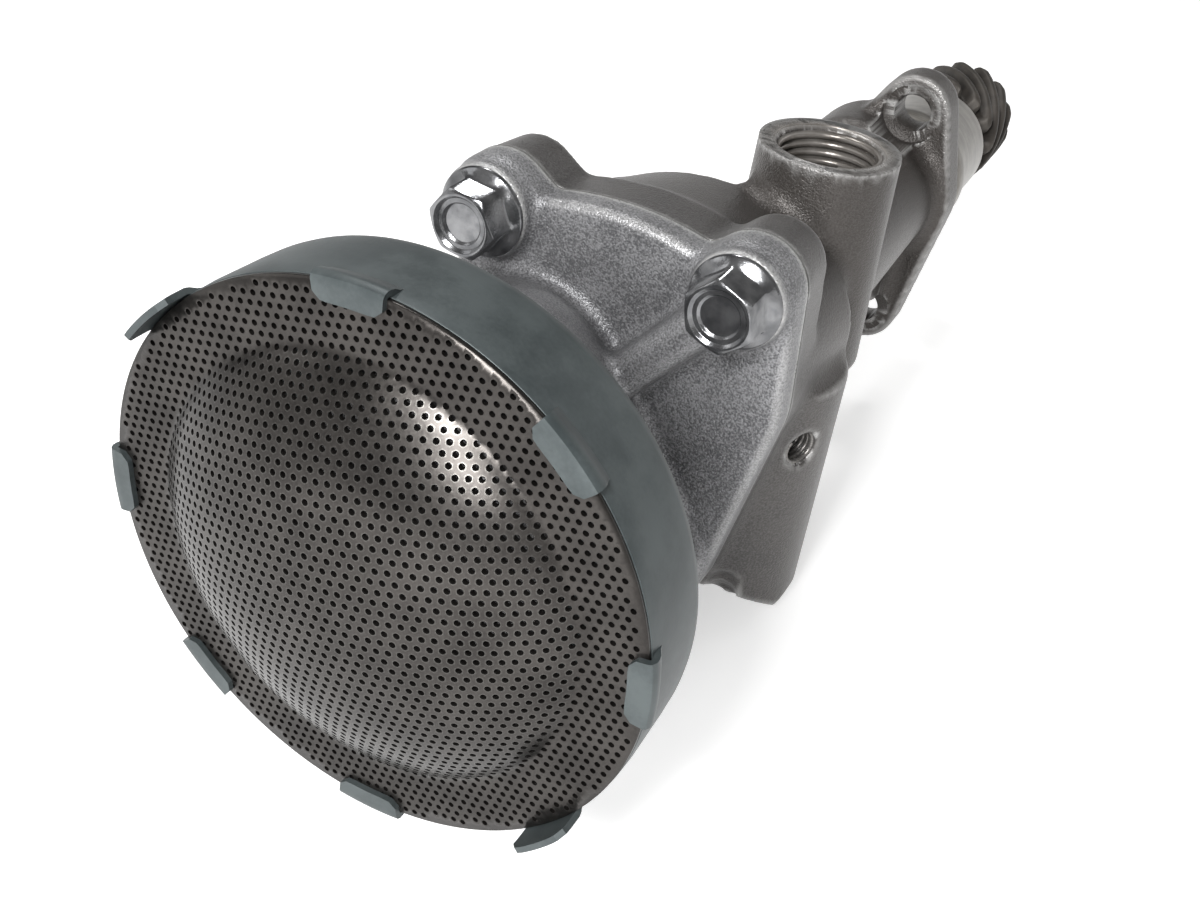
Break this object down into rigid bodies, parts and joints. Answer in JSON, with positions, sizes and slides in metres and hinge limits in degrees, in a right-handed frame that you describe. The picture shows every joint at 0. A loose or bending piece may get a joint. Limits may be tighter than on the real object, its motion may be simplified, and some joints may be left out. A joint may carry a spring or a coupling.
{
  "type": "engine oil pump",
  "caption": "Gear-type oil pump with a perforated pickup strainer, bolted inlet cover, cast gear case with a threaded outlet port, mounting flange and helical drive pinion.",
  "frame": {"origin": "on the drive shaft's axis, in the mounting face of the flange, where the pilot begins", "axes": "+Y along the drive shaft to the pinion, +Z out of the outlet port, the strainer faces -Y"},
  "size_m": [0.0924, 0.2724, 0.1077],
  "materials": {
    "cast_aluminium": "grainy die-cast skin, satin",
    "zinc_sheet": "dull grey-green zinc plating",
    "screen_steel": "bare perforated sheet",
    "zinc_bolt": "bright zinc",
    "ground_steel": "ground",
    "gear_steel": "oiled, ground flanks",
    "black_steel": "dark, heat-treated and oiled",
    "bush_bronze": "machined",
    "gasket": "dark compressed fibre",
    "washer_copper": "soft copper"
  },
  "bodies": {
    "pump": {"strainer_screen": "screen_steel", "strainer_cup": "zinc_sheet", "cup_retaining_ring": "zinc_sheet", "pump_cover": "cast_aluminium", "cover_gasket": "gasket", "cover_bolts": "zinc_bolt", "dowel_pins": "ground_steel", "pump_body": "cast_aluminium", "lower_bush": "bush_bronze", "upper_bush": "bush_bronze", "driven_shaft": "ground_steel", "thrust_washer": "ground_steel", "relief_plug": "zinc_bolt", "relief_plug_washer": "washer_copper"},
    "drive": {"drive_shaft": "ground_steel", "drive_gear": "gear_steel", "drive_gear_key": "ground_steel", "pinion": "black_steel", "pinion_pin": "ground_steel"},
    "driven": {"driven_gear": "gear_steel", "driven_gear_bush": "bush_bronze"},
    "plunger": {"relief_plunger": "ground_steel", "relief_spring": "ground_steel"}
  },
  "joints": [
    {"name": "drive_spin", "type": "hinge", "parent": "pump", "child": "drive", "pos_m": [0, 0, 0], "axis": [0, 1, 0], "continuous": true},
    {"name": "driven_spin", "type": "hinge", "parent": "pump", "child": "driven", "pos_m": [-0.0275, 0, 0], "axis": [0, 1, 0], "continuous": true},
    {"name": "relief_slide", "type": "slide", "parent": "pump", "child": "plunger", "axis": [-1, 0, 0], "range_m": [0, 0.008], "stiffness_N_per_m": 8000, "springref_m": -0.002, "deforming": ["relief_spring"]}
  ],
  "couplings": [
    {"joint": "driven_spin", "follows": "drive_spin", "ratio": -1}
  ]
}
